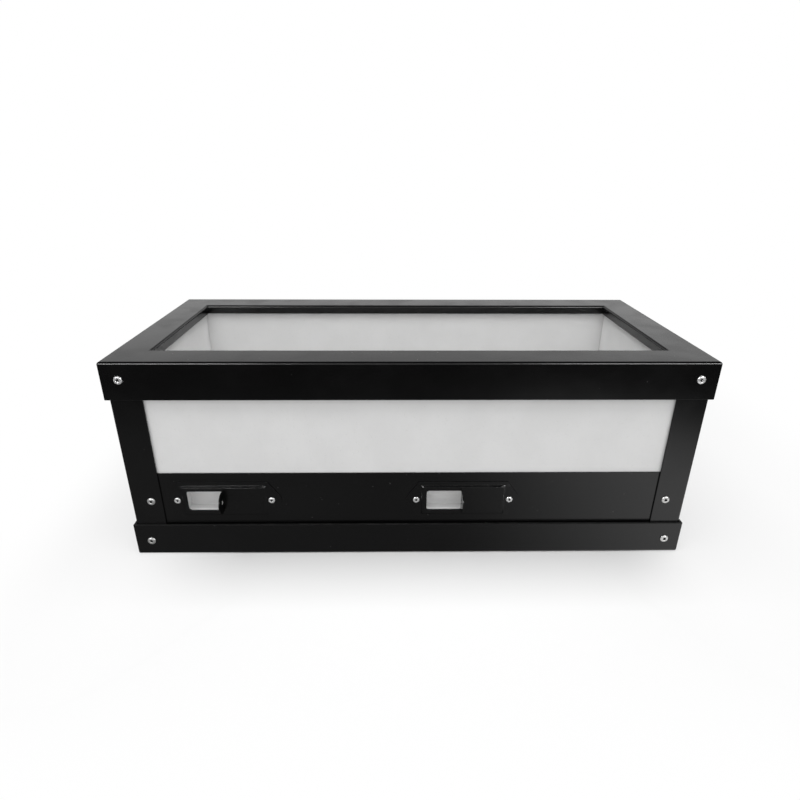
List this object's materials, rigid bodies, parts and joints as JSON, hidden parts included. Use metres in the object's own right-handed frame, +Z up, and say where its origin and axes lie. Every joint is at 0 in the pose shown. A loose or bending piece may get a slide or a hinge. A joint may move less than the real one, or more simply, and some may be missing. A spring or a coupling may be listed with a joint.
{
  "type": "tabletop charcoal grill",
  "caption": "Tabletop charcoal grill: black steel frame around ceramic-fibre board walls, open top, sliding air vents in the long sides.",
  "frame": {"origin": "middle of the footprint, on the surface the tray stands on", "axes": "+X along the length to the right, +Y to the back (the front side faces -Y), +Z up"},
  "size_m": [0.543, 0.2588, 0.202],
  "materials": {
    "black_steel": "satin black powder coat on sheet steel",
    "ceramic_board": "matt off-white ceramic-fibre board",
    "rivet_steel": "bright zinc-plated blind rivets"
  },
  "bodies": {
    "grill_body": {"base_tray": "black_steel", "top_frame": "black_steel", "front_left_post": "black_steel", "front_right_post": "black_steel", "back_left_post": "black_steel", "back_right_post": "black_steel", "front_panel": "black_steel", "back_panel": "black_steel", "left_panel": "black_steel", "right_panel": "black_steel", "front_outer_board": "ceramic_board", "back_outer_board": "ceramic_board", "left_outer_board": "ceramic_board", "right_outer_board": "ceramic_board", "front_liner_board": "ceramic_board", "back_liner_board": "ceramic_board", "left_liner_board": "ceramic_board", "right_liner_board": "ceramic_board", "floor_insulation": "ceramic_board", "hearth_board": "ceramic_board", "front_left_vent_guide": "black_steel", "front_right_vent_guide": "black_steel", "back_left_vent_guide": "black_steel", "back_right_vent_guide": "black_steel", "top_frame_rivets": "rivet_steel", "panel_rivets": "rivet_steel", "tray_rivets": "rivet_steel", "front_vent_rivets": "rivet_steel", "back_vent_rivets": "rivet_steel"},
    "front_left_vent_damper": {"front_left_vent_slider": "black_steel"},
    "front_right_vent_damper": {"front_right_vent_slider": "black_steel"},
    "back_left_vent_damper": {"back_left_vent_slider": "black_steel"},
    "back_right_vent_damper": {"back_right_vent_slider": "black_steel"}
  },
  "joints": [
    {"name": "front_left_vent_slide", "type": "slide", "parent": "grill_body", "child": "front_left_vent_damper", "axis": [-1, 0, 0], "range_m": [0, 0.0329]},
    {"name": "front_right_vent_slide", "type": "slide", "parent": "grill_body", "child": "front_right_vent_damper", "axis": [-1, 0, 0], "range_m": [0, 0.0329]},
    {"name": "back_left_vent_slide", "type": "slide", "parent": "grill_body", "child": "back_left_vent_damper", "axis": [1, 0, 0], "range_m": [0, 0.0329]},
    {"name": "back_right_vent_slide", "type": "slide", "parent": "grill_body", "child": "back_right_vent_damper", "axis": [1, 0, 0], "range_m": [0, 0.0329]}
  ]
}
